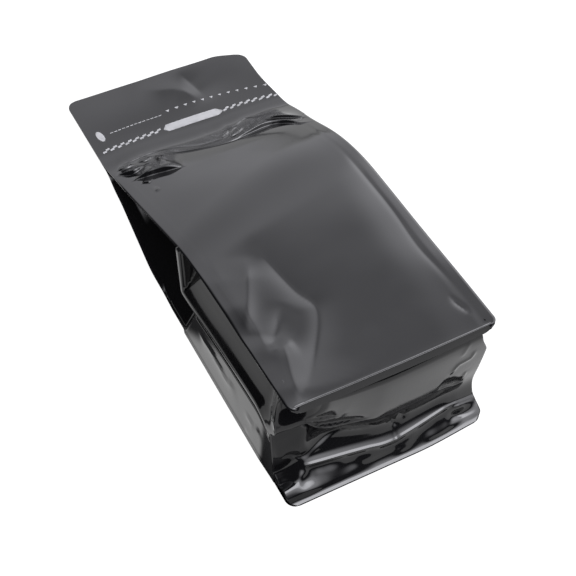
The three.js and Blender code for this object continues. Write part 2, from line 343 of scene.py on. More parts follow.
def front_height(x, y):
    """Upper surface of the front panel."""
    share = (x + HALF_WIDTH) / (2 * HALF_WIDTH)
    fall = mix(*SHOULDER_FALL, share)
    rounding = mix(*SHOULDER_ROUNDING, share)
    filled = BASE_DEPTH - FRONT_TAPER * y
    shoulder = FLAP_HEIGHT + fall * (FLAP_START - y)
    film = smooth_max(smooth_min(filled, shoulder, rounding), flap_height(x, y), FLAP_ROUNDING)
    fullness = 1 - past(y, EMPTYING)
    swell = FRONT_CROWN * crown(x) * fullness * past(y, FRONT_CROWN_START)
    puff = SEAL_PUFF * past(SEAM_X - np.abs(x), SEAL_PUFF_SPAN) * fullness
    uneven = FRONT_UNEVEN * ripples(x, y, FRONT_UNEVEN_LENGTH, seed=4)
    droop = FLANGE_DROOP * np.maximum(np.abs(x) - SEAM_X, 0) * past(y, FLANGE_DROOP_Y) * fullness
    folds = creased(x, y, SHOULDER_FOLDS + SHOULDER_CRUMPLES + SIDE_FOLDS + FACETS)
    roll = EDGE_ROLL * past(np.abs(x) - panel_half_width(y, 0, MOUTH_Y), (-EDGE_ROLL_SPAN, 0)) * fullness
    return film + swell + puff - lip_drop(x, y) + uneven + folds - roll - droop


def back_height(x, y):
    """Lower surface of the back panel: flat on the floor, then rising to the flap."""
    sag = BACK_CROWN * crown(x) * between(y, LIFT_SPAN, EMPTYING)
    rising = smooth_max(0, LIFT_RISE * (y - LIFT_START) - sag, LIFT_ROUNDING)
    on_floor = y < LIFT_START - LIFT_ROUNDING / LIFT_RISE
    on_flange = np.clip((np.abs(x) - SEAM_X) / FLANGE, 0, 1)
    hanging = FLANGE_DIP * on_flange * between(y, FLANGE_DIP_Y, FLANGE_DIP_END)
    return np.where(on_floor, 0, smooth_min(rising, flap_height(x, y) - FLAP_FILMS, FLAP_ROUNDING) - hanging)


def panel_half_width(y, start, end):
    """Half width of a panel whose ends have die-cut round corners."""
    inset = CORNER_RADIUS - np.minimum(CORNER_RADIUS, np.minimum(y - start, end - y))
    return HALF_WIDTH - CORNER_RADIUS + np.sqrt(CORNER_RADIUS**2 - inset**2)


def askew(points):
    """Points of the film, shifted in its plane where the flap and the base flange lie askew."""
    x, y, z = np.moveaxis(np.asarray(points, float), -1, 0)
    on_flap = past(y, FLAP_ASKEW)
    on_skirt = 1 - past(y, (-SKIRT, SKIRT))
    pull = FLAP_PULL * past(x, (0, HALF_WIDTH)) * on_flap
    slant = SKIRT_SLANT * past(x, SKIRT_SLANT_X) * on_skirt - MOUTH_SLANT * (x / HALF_WIDTH) * on_flap
    drawn_in = CORNER_PULL * past(x, CORNER_PULL_X) * past(y, CORNER_PULL_Y)
    return points_at(x - pull, y + slant - drawn_in, z)


# Side gussets

GUSSET_END = 262
FILM_GAP = 0.05
CREASE_END = 138.3  # along Y, where the crease turns up to the front flange
CREASE_HEIGHT = ((0, 40), (16, 45), (32, 54), (45, 55), (85, 51), (114, 46.4), (128, 44.5),
                 (CREASE_END, 43.7))
CREASE_SETTLES = (CREASE_END, 165)  # from there on it runs half way between the seams
CREASE_SHARE = 0.541  # of the way from the back flange to the front one, past the crease's end
CREASE_TURN = 6  # the turned crease leans this far towards the mouth
CREASE_TURN_START = (60, CREASE_END)
CREASE_TURN_END = (170, 230)
CREASE_END_SLOPE = 8
CREASE_IN = 32
CREASE_CLOSES = (250, 262)
RIGHT_CREASE_DRAWN_IN = 0.16  # share of its reach that the right crease's end lacks
RIGHT_CREASE_END_LENGTH = 24
FLANGE_SHOWS = (160, 192)  # the film covers the back flange before this
# How far the film stands out of the seams, by its distance from the crease
ABOVE_CREASE = ((-1, 8.6), (0, 7.9), (1, 7.1), (4, 4.5), (7, 2.4), (11, 0.2), (16, -2.2), (30, -7.5),
                (60, -9))
BELOW_CREASE = ((-1, 7.9), (0, 7.9), (3.2, 7.9), (3.8, 6.6), (6.5, 5.4), (7.7, 5.7), (9.2, 7), (11, 7.2),
                (99, 7))
BELOW_BLEND = (3, 7)  # distances from the crease where the film starts to lean, and leans in full
FRONT_SEAM_SHARE = (0.94, 1)  # the film runs into the front seam over this part of its way up
LEANING_ROUTE = ((112, 60), (122, 36), (132, 14), (140, -4), (146, -20))  # by y and z
LEANING_SLOPE = 1.3  # the film turns in past the route
LEANING_ROUNDING = 1.5
FOLDED_ROUNDING = 3
CORNER_OUT = ((0, 7), (8, 7.2), (57, 7.2), (64, 6.3), (76, 1.5), (90, 0))  # by z, where it meets the base
CORNER_SPAN = (17, 36)
CORNER_OVERLAP = 0.5  # the gusset starts this far behind the base panel
CORNER_EASE = 30
EDGE_INSET = 0.1
GUSSET_COLUMNS = ((CORNER_SPAN[0], 100, 2), (100, 132, 1.2), (132, CREASE_END, 0.45), (CREASE_END, 150, 0.45),
                  (150, GUSSET_END, 2.2))  # along Y, as start, end and step
UPPER_ROWS = ((0, 0.3, 0.0115), (0.3, 1, 0.045))  # parts of the way from the crease up to the front seam
LOWER_ROWS = ((0, 0.28, 0.0105), (0.28, 1, 0.05))  # and down to the back seam

# Folds of the gussets, by y and z. The film stands out below a fold's route.
GUSSET_FOLDS = (
    Crease(((118, 28.5), (105, 31.5), (90, 30.5), (76, 29), (64, 34)), 1.0, 1.1, 6, 0.2),
    Crease(((52, 5), (42, 21), (34, 33)), 0.8, 1.2, 3, 0.2),
    Crease(((50, 29), (46, 26), (40, 27)), 0.7, 1.0, 3, 0.3),
)


def gusset_out(column, y, z, crease_z, share):
    """How far the gusset's film stands out of its seams."""
    rise = z - crease_z
    before = CREASE_END - column
    above = profile(np.minimum(rise, CREASE_END_SLOPE * before), ABOVE_CREASE)
    above = above * (1 - past(share, FRONT_SEAM_SHARE))
    away = np.hypot(np.maximum(-rise, 0), np.maximum(-before, 0))
    below = profile(away, BELOW_CREASE)
    over_route = from_route(y, z, LEANING_ROUTE)[0]
    leaning = smooth_min(below, BELOW_CREASE[-1][1] - LEANING_SLOPE * over_route, LEANING_ROUNDING)
    tent = np.minimum(share / CREASE_SHARE, (1 - share) / (1 - CREASE_SHARE))
    folded = mix(FLANGE * (1 - past(y, FLANGE_SHOWS)), -CREASE_IN, tent) * (1 - past(y, CREASE_CLOSES))
    below = mix(below, smooth_max(leaning, folded, FOLDED_ROUNDING), past(away, BELOW_BLEND))
    out = np.where((rise > 0) & (before > 0), above, below)
    return mix(profile(z, CORNER_OUT), out, past(column, CORNER_SPAN))


# Base panel

FACE_TOP = 88
BASE_SEAM_Y = 5
RIDGE_Z = ((-70, 8), (-62, 11.5), (-55, 15.3), (-49, 17), (-24, 16.5), (3, 14), (8, 13.3), (14, 14.6),
           (41, 17), (53, 15), (62, 11.2), (70, 8))
BASE_SECTIONS = (  # x, then heights above the heel ridge with the film's y there
    (-70, ((0, 11.8), (1.1, 13.4), (4, 14.2), (14, 15.6), (27, 17.8), (38, 19.2), (43, 15), (49, 14.5),
           (64, 20), (80, 18))),
    (-63, ((0, 10), (0.8, 11.6), (4, 13), (14, 14.6), (27, 17), (38, 18.4), (43, 13.6), (47, 13),
           (61, 21.5), (78, 20))),
    (-52, ((0, 6), (0.8, 8), (4, 10.6), (14, 13), (27, 15.2), (36, 15.4), (41, 10), (45, 9.6),
           (59, 18.5), (71, 18))),
    (-44, ((0, 4.4), (0.8, 6.4), (4.3, 9.8), (15, 13.8), (28, 10.5), (37, 8), (43, 7.6), (55, 8.8),
           (61, 9), (62, 9.2), (71, 14.6))),
    (-34, ((0, 3), (0.8, 5), (4.6, 8.6), (15, 13.7), (29, 7.2), (39, 6.8), (55, 6), (61, 5.8), (62, 6),
           (71, 11.4))),
    (-12, ((0, 0.3), (0.8, 2.3), (4.5, 5.6), (11.5, 8.5), (22.5, 5.5), (36.5, 4.5), (54, 4), (62.5, 4),
           (63.5, 4.2), (72, 9.4))),
    (4, ((0, -1.2), (0.8, 0.8), (5, 4.4), (12, 6.5), (22, 5), (34, 3.9), (56, 3.2), (64.5, 3.3),
         (65.5, 3.5), (74, 8.8))),
    (40, ((0, 2.1), (0.8, 4.1), (5, 7), (11, 7.8), (23, 6), (38, 5.2), (55, 4.2), (61.5, 4.3),
          (62.5, 4.5), (71, 9.7))),
    (70, ((0, 7.5), (0.8, 9.5), (12, 12.3), (30, 9.9), (47, 7.6), (64, 5.6), (70.5, 5.6), (71.5, 5.8),
          (80, 11))),
)
LEFT_END = (-60, -48)
RIGHT_END = (44, 58)
CORNER_WRAP = (0.3, 1, 2, 3)  # the film turns the corner onto the gussets
FLAT_WRAP = 0.1  # share of that turn where the film lies in a flange
WALL_WRAP = 0.5  # and below the heel ridge
CORNER_GAP = 0.15  # between the base panel and the gussets
FLANGE_TUCK = 0.3  # the film ends this far inside the front flange
UNDER_FRONT = ((0.3, 2.5), (2.4, 1.6))  # y, and how many film steps below the front panel
SEAM_TURN = (0.8, 2)  # back and down from the seam, where the film turns to the face
BASE_COLUMNS = 171
FACE_ROWS = 78
ROW_CROWDING = 1.5  # the rows lie closer towards the heel ridge
FOLDS_START = (0.5, 3)  # above the heel ridge

# Rows of the wall below the heel ridge, by (y, z) in the middle, at the left end and at the right end
WALL_DROP = 4.2
WALL_TOP = ((-0.2, -1.2), (-1.6, -0.5), (-1.2, -0.5))  # from the ridge
WALL_UPRIGHT = ((-0.5, -WALL_DROP), (-5, -1.8), (-3.5, -1.6))  # from the ridge
WALL_HALF_DOWN_ENDS = ((0, 9), (0, 5.4))
WALL_FOOT = ((-4.3, 4.6), (-4.6, 6), (-4, 3.4))
WALL_ROUGH = (0, 0.15, 0.5, 0.4)  # share of its ripples in each row
WALL_STRETCH = (0.55, 5)  # of the wall's ripples along x and y
WALL_SWELL = 1.3
WALL_LIFT = 0.65
SKIRT_FOOT = (-6.4, 1.9)  # y, z
SKIRT_EDGE = (-SKIRT + 0.4, 0.8)

# Folds of the base panel, by x and z. A fold with a recovery steps back on the left of its route.
BASE_FOLDS = (
    Crease(((-62, 57), (-54, 55), (-43.5, 50.5), (-27.5, 46), (-8, 42)), -3.2, 2.4, 7, 0.4),
    Crease(((-56, 61.5), (-48, 60), (-40, 58), (-30, 54)), -2.2, 1.8, 6, 0.4),
    Crease(((-66, 20), (-60, 22), (-53, 19), (-41, 24.5), (-25, 30.5), (-15, 29), (-2, 26)),
           -1.4, 1.6, 6, 0.2),
    Crease(((36, 39), (45.4, 35.4), (53.7, 30), (61, 27)), -1.6, 1.6, 5, 0.25),
    Crease(((61, 68), (59, 60), (54.5, 59), (49.3, 58), (45.5, 50)), 0.9, 1.2, 0, 0.2),
    Crease(((59.5, 43), (57, 29)), 0.8, 1.2, 0, 0.3),
    Crease(((55.5, 82), (52.5, 74), (50, 66)), 0.5, 1.6, 0, 0.3),
    Crease(((10, 18), (9, 23), (6, 28)), -1.6, 1.6, 0, 0.3),
    Crease(((17, 21), (15, 26), (10, 30)), -1.4, 1.4, 0, 0.3),
)


def face_y(x, part):
    """Where the base panel lies along Y a part of the way up from the heel ridge, without its folds."""
    places = []
    for at, section in BASE_SECTIONS:
        above_ridge = part * (FACE_TOP - profile(at, RIDGE_Z))
        places.append((at, profile(above_ridge, section)))
    return profile(x, places)


def corner_y(x, z):
    """Where the base panel lies along Y at one place on its corner."""
    ridge_z = profile(x, RIDGE_Z)
    return face_y(x, (z - ridge_z) / (FACE_TOP - ridge_z))


def corner_half_width(z):
    """Half width of the base panel at a height, just outside the gussets."""
    return SEAM_X + profile(z, CORNER_OUT) + CORNER_GAP


# Making meshes of the film


def rows_between(*spans):
    """Places along an axis from (start, end, step) spans that follow each other."""
    parts = [np.linspace(start, end, round((end - start) / step), endpoint=False)
             for start, end, step in spans]
    return np.concatenate(parts + [[spans[-1][1]]])


def joined(*pieces):
    """Rows of points that follow each other, without their shared end rows."""
    return np.concatenate([pieces[0]] + [piece[1:] for piece in pieces[1:]])


def sheet_mesh(outer, thickness):
    """Points, faces and rim faces of a closed thin sheet whose outer face is a grid of points."""
    outer = askew(outer)
    rows, columns = outer.shape[:2]
    normal = np.cross(np.gradient(outer, axis=1), np.gradient(outer, axis=0))
    normal /= np.maximum(np.linalg.norm(normal, axis=-1, keepdims=True), 1e-9)
    inner = outer - thickness * normal
    count = rows * columns
    index = np.arange(count).reshape(rows, columns)
    quads = np.stack([index[:-1, :-1], index[:-1, 1:], index[1:, 1:], index[1:, :-1]], axis=-1)
    quads = quads.reshape(-1, 4)
    loop = np.concatenate([index[0, :-1], index[:-1, -1], index[-1, :0:-1], index[:0:-1, 0]])
    onward = np.roll(loop, -1)
    rim = np.stack([onward, loop, loop + count, onward + count], axis=-1)
    points = np.concatenate([outer.reshape(-1, 3), inner.reshape(-1, 3)])
    points[:, 1] += BASE_EDGE_Y
    return points, np.concatenate([quads, quads[:, ::-1] + count, rim]), rim


def film_object(name, sheets, thickness):
    """A mesh object of closed thin sheets, each from the grid of points of its outer face."""
    points, faces, rims = [], [], []
    count = 0
    for outer in sheets:
        sheet_points, sheet_faces, sheet_rim = sheet_mesh(outer, thickness)
        points.append(sheet_points)
        faces.append(sheet_faces + count)
        rims.append(sheet_rim + count)
        count += len(sheet_points)
    return mesh_object(name, np.concatenate(points), np.concatenate(faces), np.concatenate(rims))


def add_object(name, data):
    """A new object in the scene."""
    made = bpy.data.objects.new(name, data)
    bpy.context.scene.collection.objects.link(made)
    return made


def mesh_object(name, points, faces, rim):
    """A smooth mesh object from points in millimetres, sharp along the edges of its rim faces."""
    mesh = bpy.data.meshes.new(name)
    mesh.from_pydata((points * MM).tolist(), [], faces.tolist())
    mesh.polygons.foreach_set("use_smooth", np.ones(len(mesh.polygons), bool))
    ends = np.empty(len(mesh.edges) * 2, np.int64)
    mesh.edges.foreach_get("vertices", ends)
    ends = np.sort(ends.reshape(-1, 2), axis=1)
    borders = np.sort(np.concatenate([rim[:, :2], rim[:, 2:]]), axis=1)
    span = len(points)
    sharp = np.isin(ends[:, 0] * span + ends[:, 1], borders[:, 0] * span + borders[:, 1])
    mesh.attributes.new("sharp_edge", "BOOLEAN", "EDGE").data.foreach_set("value", sharp)
    mesh.update()
    return add_object(name, mesh)


def fit_to_frame(piece, material):
    """Rides a piece on the pouch's body in place of its solid, with its finish."""
    piece.data.materials.append(material)
    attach(piece, "root")
    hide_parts("pouch")


def add_film(name, points):
    """A piece of black film from the grid of points of its outer face, fitted to the frame."""
    piece = film_object(name, [points], film().film_thickness / MM)
    fit_to_frame(piece, finish("black_film", film_material))


# Materials

SMUDGE_ROUGHNESS = 0.08  # that smudges add to clean film
SMUDGE_SPAN = (0.42, 0.72)  # of the noise, where a smudge starts and is full
SCUFF_SPAN = (0.4, 0.65)
FOLD_SPAN = (0.53, 0.62)  # pointiness where a fold starts to wear and is worn in full


def new_group(name, output, output_kind="NodeSocketFloat", **inputs):
    """A shader node group, its input sockets' values by name, with _ for a space, and its output socket."""
    group = bpy.data.node_groups.new(name, "ShaderNodeTree")
    for socket, default in inputs.items():
        kind = "NodeSocketColor" if isinstance(default, tuple) else "NodeSocketFloat"
        made = group.interface.new_socket(socket.replace("_", " "), in_out="INPUT", socket_type=kind)
        made.default_value = default
    group.interface.new_socket(output, in_out="OUTPUT", socket_type=output_kind)
    return group, group.nodes.new("NodeGroupInput").outputs, group.nodes.new("NodeGroupOutput").inputs[output]


def new_material(name):
    """A material, its node tree and its shader."""
    material = bpy.data.materials.new(name)
    material.use_nodes = True
    return material, material.node_tree, material.node_tree.nodes["Principled BSDF"]


def feed(tree, value, socket):
    """Sets a socket to a number, or links it to another socket."""
    if isinstance(value, (int, float)):
        socket.default_value = value
    else:
        tree.links.new(value, socket)


def object_place(tree):
    """The place on the object itself, in metres."""
    return tree.nodes.new("ShaderNodeTexCoord").outputs["Object"]


def set_inputs(node, **values):
    """Sets a node's inputs by name, with _ for a space."""
    for name, value in values.items():
        node.inputs[name.replace("_", " ")].default_value = value
    return node


def noise(tree, coordinates, scale, detail=4.0, stretch=(1, 1, 1)):
    """A noise texture on stretched coordinates; its scale may be a number or a socket."""
    mapping = set_inputs(tree.nodes.new("ShaderNodeMapping"), Scale=stretch)
    texture = set_inputs(tree.nodes.new("ShaderNodeTexNoise"), Detail=detail)
    tree.links.new(coordinates, mapping.inputs["Vector"])
    tree.links.new(mapping.outputs["Vector"], texture.inputs["Vector"])
    feed(tree, scale, texture.inputs["Scale"])
    return texture.outputs["Fac"]


def ranged(tree, value, start, end, low=0.0, high=1.0):
    """A value eased from one range to another; the second range may be sockets."""
    node = tree.nodes.new("ShaderNodeMapRange")
    node.interpolation_type = "SMOOTHSTEP"
    tree.links.new(value, node.inputs["Value"])
    for name, number in (("From Min", start), ("From Max", end), ("To Min", low), ("To Max", high)):
        feed(tree, number, node.inputs[name])
    return node.outputs["Result"]


def along(tree, vector, direction):
    """How far a vector reaches in a direction."""
    node = tree.nodes.new("ShaderNodeVectorMath")
    node.operation = "DOT_PRODUCT"
    tree.links.new(vector, node.inputs[0])
    node.inputs[1].default_value = Vector(direction).normalized()
    return node.outputs["Value"]


def combine(tree, operation, first, second):
    """A math node on two values, each a number or a socket."""
    node = tree.nodes.new("ShaderNodeMath")
    node.operation = operation
    for socket, value in zip(node.inputs, (first, second)):
        feed(tree, value, socket)
    return node.outputs[0]


def film_grain_group():
    """Fine unevenness of laminated film: a grain, and long shallow draw lines along the web."""
    group, given, height = new_group("film_grain", "Height", Scale=900.0, Grain=0.4, Draw_Lines=0.6)
    place = object_place(group)
    grain = combine(group, "MULTIPLY", noise(group, place, given["Scale"]), given["Grain"])
    lines = noise(group, place, scale=60.0, detail=2.0, stretch=(1.0, 0.25, 1.0))
    lines = combine(group, "MULTIPLY", lines, given["Draw Lines"])
    group.links.new(combine(group, "ADD", grain, lines), height)
    return group


def handling_group():
    """Roughness of a handled surface: clean film with duller smudges."""
    group, given, roughness = new_group("handling_marks", "Roughness", Clean=0.12, Dull=0.22, Scale=25.0)
    smudges = noise(group, object_place(group), given["Scale"], detail=6.0)
    group.links.new(ranged(group, smudges, *SMUDGE_SPAN, given["Clean"], given["Dull"]), roughness)
    return group


def crease_wear_group():
    """Colour of a surface that is scuffed paler along its sharp folds and edges."""
    group, given, color = new_group("crease_wear", "Color", "NodeSocketColor", Color=(0.0, 0.0, 0.0, 1.0),
                                    Worn_Color=(0.1, 0.1, 0.1, 1.0), Amount=0.5)
    pointed = group.nodes.new("ShaderNodeNewGeometry").outputs["Pointiness"]
    scuffs = ranged(group, noise(group, object_place(group), scale=220.0), *SCUFF_SPAN)
    worn = combine(group, "MULTIPLY", ranged(group, pointed, *FOLD_SPAN), scuffs)
    mixer = group.nodes.new("ShaderNodeMix")
    mixer.data_type = "RGBA"
    group.links.new(combine(group, "MULTIPLY", worn, given["Amount"]), mixer.inputs["Factor"])
    group.links.new(given["Color"], mixer.inputs["A"])
    group.links.new(given["Worn Color"], mixer.inputs["B"])
    group.links.new(mixer.outputs["Result"], color)
    return group


GROUPS = {
    "film_grain": film_grain_group,
    "handling_marks": handling_group,
    "crease_wear": crease_wear_group,
}


def place_group(tree, name, **values):
    """A material's own copy of a shared node group, built on its first use."""
    node = tree.nodes.new("ShaderNodeGroup")
    node.node_tree = bpy.data.node_groups.get(name) or GROUPS[name]()
    return set_inputs(node, **values)


def film_finish(name, color, worn_color, clean, dull, grain, bump_strength):
    """A material with the wear, smudges and grain of film, in its own colour and gloss."""
    material, tree, shader = new_material(name)
    set_inputs(shader, IOR=1.5)
    wear = place_group(tree, "crease_wear", Color=(*color, 1), Worn_Color=(*worn_color, 1))
    marks = place_group(tree, "handling_marks", Clean=clean, Dull=dull)
    relief = place_group(tree, "film_grain", Grain=grain)
    raised = set_inputs(tree.nodes.new("ShaderNodeBump"), Strength=bump_strength, Distance=0.0001)
    tree.links.new(wear.outputs["Color"], shader.inputs["Base Color"])
    tree.links.new(marks.outputs["Roughness"], shader.inputs["Roughness"])
    tree.links.new(relief.outputs["Height"], raised.inputs["Height"])
    tree.links.new(raised.outputs["Normal"], shader.inputs["Normal"])
    return material


def film_material():
    """Glossy black laminate."""
    look = film()
    return film_finish("black_film", look.film_color, look.scuff_color, clean=look.film_roughness,
                       dull=look.film_roughness + SMUDGE_ROUGHNESS, grain=0.3, bump_strength=0.12)


def ink_material():
    """White ink printed on the film."""
    look = printing()
    return film_finish("white_ink", look.ink_color, look.ink_worn_color, clean=0.3, dull=0.45, grain=1.0,
                       bump_strength=0.3)


def floor_strip(tree, place, direction, start, end):
    """1 on a soft-edged strip of the floor, 0 off it; start and end are spans in metres along a direction."""
    reach = along(tree, place, direction)
    return combine(tree, "MULTIPLY", ranged(tree, reach, *start), ranged(tree, reach, *end, 1.0, 0.0))


def floor_material():
    """Pale studio floor that looks even to the camera and is a little dimmer in the film's reflections, where
    painted shadows of the pouch darken its glow.
    """
    look = studio()
    material, tree, shader = new_material("studio_floor")
    set_inputs(shader, Base_Color=(*look.floor_color, 1), Roughness=0.9, Specular_IOR_Level=0,
               Emission_Color=(1, 1, 1, 1))
    place = object_place(tree)
    # painted shadows of the pouch, strip by strip, darken the glow that the film reflects
    shade = 0.0
    for depth, strips in PAINTED_FLOOR_SHADOWS:
        part = depth
        for strip in strips:
            part = combine(tree, "MULTIPLY", part, floor_strip(tree, place, *strip))
        shade = combine(tree, "MAXIMUM", shade, part)
    glow = ranged(tree, shade, 0.0, 1.0, look.floor_glow, 0.0)
    seen = tree.nodes.new("ShaderNodeLightPath").outputs["Is Camera Ray"]
    tree.links.new(ranged(tree, seen, 0.0, 1.0, glow, 1.0), shader.inputs["Emission Strength"])
    return material


# Settings


class PouchFilmSettings(bpy.types.PropertyGroup):
    """Sizes and finish of the film."""

    film_thickness: FloatProperty(
        name="Film thickness", description="Thickness of one sheet of film", default=0.00035, unit="LENGTH")
    film_color: FloatVectorProperty(
        name="Film colour", description="Colour of the laminate", default=(0.003, 0.003, 0.0034),
        subtype="COLOR")
    scuff_color: FloatVectorProperty(
        name="Scuff colour", description="Colour of worn folds", default=(0.02, 0.02, 0.021), subtype="COLOR")
    film_roughness: FloatProperty(
        name="Film roughness", description="Roughness of clean laminate", default=0.08, subtype="FACTOR")


class PouchPrintSettings(bpy.types.PropertyGroup):
    """Sizes and colours of the print on the mouth flap."""

    ink_thickness: FloatProperty(
        name="Ink thickness", description="How far the ink stands on the film", default=0.00006,
        unit="LENGTH")
    ink_color: FloatVectorProperty(
        name="Ink colour", description="Colour of the white ink", default=(0.2, 0.2, 0.205), subtype="COLOR")
    ink_worn_color: FloatVectorProperty(
        name="Worn ink colour", description="Colour of rubbed ink", default=(0.1, 0.1, 0.1), subtype="COLOR")


class PouchStudioSettings(bpy.types.PropertyGroup):
    """Floor, light and camera."""

    floor_color: FloatVectorProperty(
        name="Floor colour", description="Colour of the floor", default=(0.06, 0.06, 0.06), subtype="COLOR")
    floor_glow: FloatProperty(
        name="Floor glow", description="Light that the floor gives off into the film", default=0.74)
    backdrop_light: FloatProperty(
        name="Backdrop light", description="Brightness of the studio behind the mouth", default=2.3)
    glow_light: FloatProperty(
        name="Glow light", description="Brightness of the soft glow round the softbox", default=5)
    softbox_light: FloatProperty(
        name="Softbox light", description="Brightness of the softbox overhead", default=8)
    side_light: FloatProperty(
        name="Side light", description="Brightness of the soft light on the right", default=3)
    dim_light: FloatProperty(
        name="Dim side", description="Brightness of the studio on the camera's side", default=0.04)
    focal_length: FloatProperty(
        name="Focal length", description="Camera lens", default=0.09375, unit="CAMERA")


def film():
    return bpy.context.scene.pouch_film


def printing():
    return bpy.context.scene.pouch_print


def studio():
    return bpy.context.scene.pouch_studio


def finish(name, make):
    """A material by name, made on its first use."""
    return bpy.data.materials.get(name) or make()


# Panels


def panel_points(spans, across, start, height):
    """A large panel's grid of points from spans of its rows, its columns and a rule for its height."""
    rows = rows_between(*spans)
    y = np.broadcast_to(rows[:, None], (len(rows), len(across)))
    x = across * panel_half_width(y, start, MOUTH_Y)
    return points_at(x, y, height(x, y))


class POUCH_OT_front_panel(bpy.types.Operator):
    """Builds the front panel with its flanges, folds and mouth flap."""

    bl_idname = "pouch.front_panel"
    bl_label = "Front panel"

    def execute(self, context):
        middle = np.linspace(*FRONT_COLUMNS)
        across = np.concatenate([-FRONT_EDGE_COLUMNS[::-1], middle, FRONT_EDGE_COLUMNS])
        add_film("front_panel", panel_points(FRONT_ROWS, across, 0, front_height))
        return {"FINISHED"}


class POUCH_OT_back_panel(bpy.types.Operator):
    """Builds the back panel, which lies on the floor and rises to the flap."""

    bl_idname = "pouch.back_panel"
    bl_label = "Back panel"

    def execute(self, context):
        add_film("back_panel", panel_points(BACK_ROWS, np.linspace(*BACK_COLUMNS), -SKIRT, back_height))
        return {"FINISHED"}


def gusset_points(side):
    """The gusset's film from the front flange's edge over the crease to the back flange's edge."""
    columns = rows_between(*GUSSET_COLUMNS)
    film_step = film().film_thickness / MM + FILM_GAP
    seam = np.full_like(columns, side * SEAM_X)
    lean = CREASE_TURN * between(columns, CREASE_TURN_START, CREASE_TURN_END)
    half_way = mix(back_height(seam, columns), front_height(seam, columns), CREASE_SHARE)
    crease_z = mix(profile(columns, CREASE_HEIGHT), half_way, past(columns, CREASE_SETTLES))
    drawn_in = RIGHT_CREASE_DRAWN_IN * bump(columns, CREASE_END, RIGHT_CREASE_END_LENGTH) if side > 0 else 0

    def film_row(up, part):
        """A row of the film, a part of the way from the crease up or down to a seam."""
        y = columns + lean * part * up
        end = front_height(seam, y) - film_step if up else back_height(seam, y) + film_step
        z = mix(crease_z, end, part)
        start = corner_y(side * corner_half_width(z[0]), z[0]) + CORNER_OVERLAP
        y = y + (start - columns[0]) * (1 - past(columns, (columns[0], columns[0] + CORNER_EASE)))
        share = mix(CREASE_SHARE, up, part)
        out = gusset_out(columns, y, z, crease_z, share) + creased(y, z, GUSSET_FOLDS) * (0 if up else 1)
        out = out * (1 - drawn_in)
        return points_at(side * (SEAM_X + out * (part < 1 or not up)), y, z)

    def flange_edge(row, height):
        edge = np.full_like(columns, side * (HALF_WIDTH - EDGE_INSET))
        return points_at(edge, row[:, 1], height(edge, row[:, 1]))

    upper = [film_row(1, part) for part in rows_between(*UPPER_ROWS)[::-1]]
    lower = [film_row(0, part) for part in rows_between(*LOWER_ROWS)]
    top = flange_edge(upper[0], lambda x, y: front_height(x, y) - film_step)
    bottom = flange_edge(lower[-1], lambda x, y: back_height(x, y) + film_step)
    return joined(flowing([top, upper[0]], steps=(4,)), np.array(upper), np.array(lower),
                  flowing([lower[-1], bottom], steps=(3,)))


class POUCH_OT_side_gussets(bpy.types.Operator):
    """Builds the two side gussets with their creases."""

    bl_idname = "pouch.side_gussets"
    bl_label = "Side gussets"

    def execute(self, context):
        for name, side in (("left_gusset", -1), ("right_gusset", 1)):
            points = gusset_points(side)
            add_film(name, points if side > 0 else points[:, ::-1])
        return {"FINISHED"}


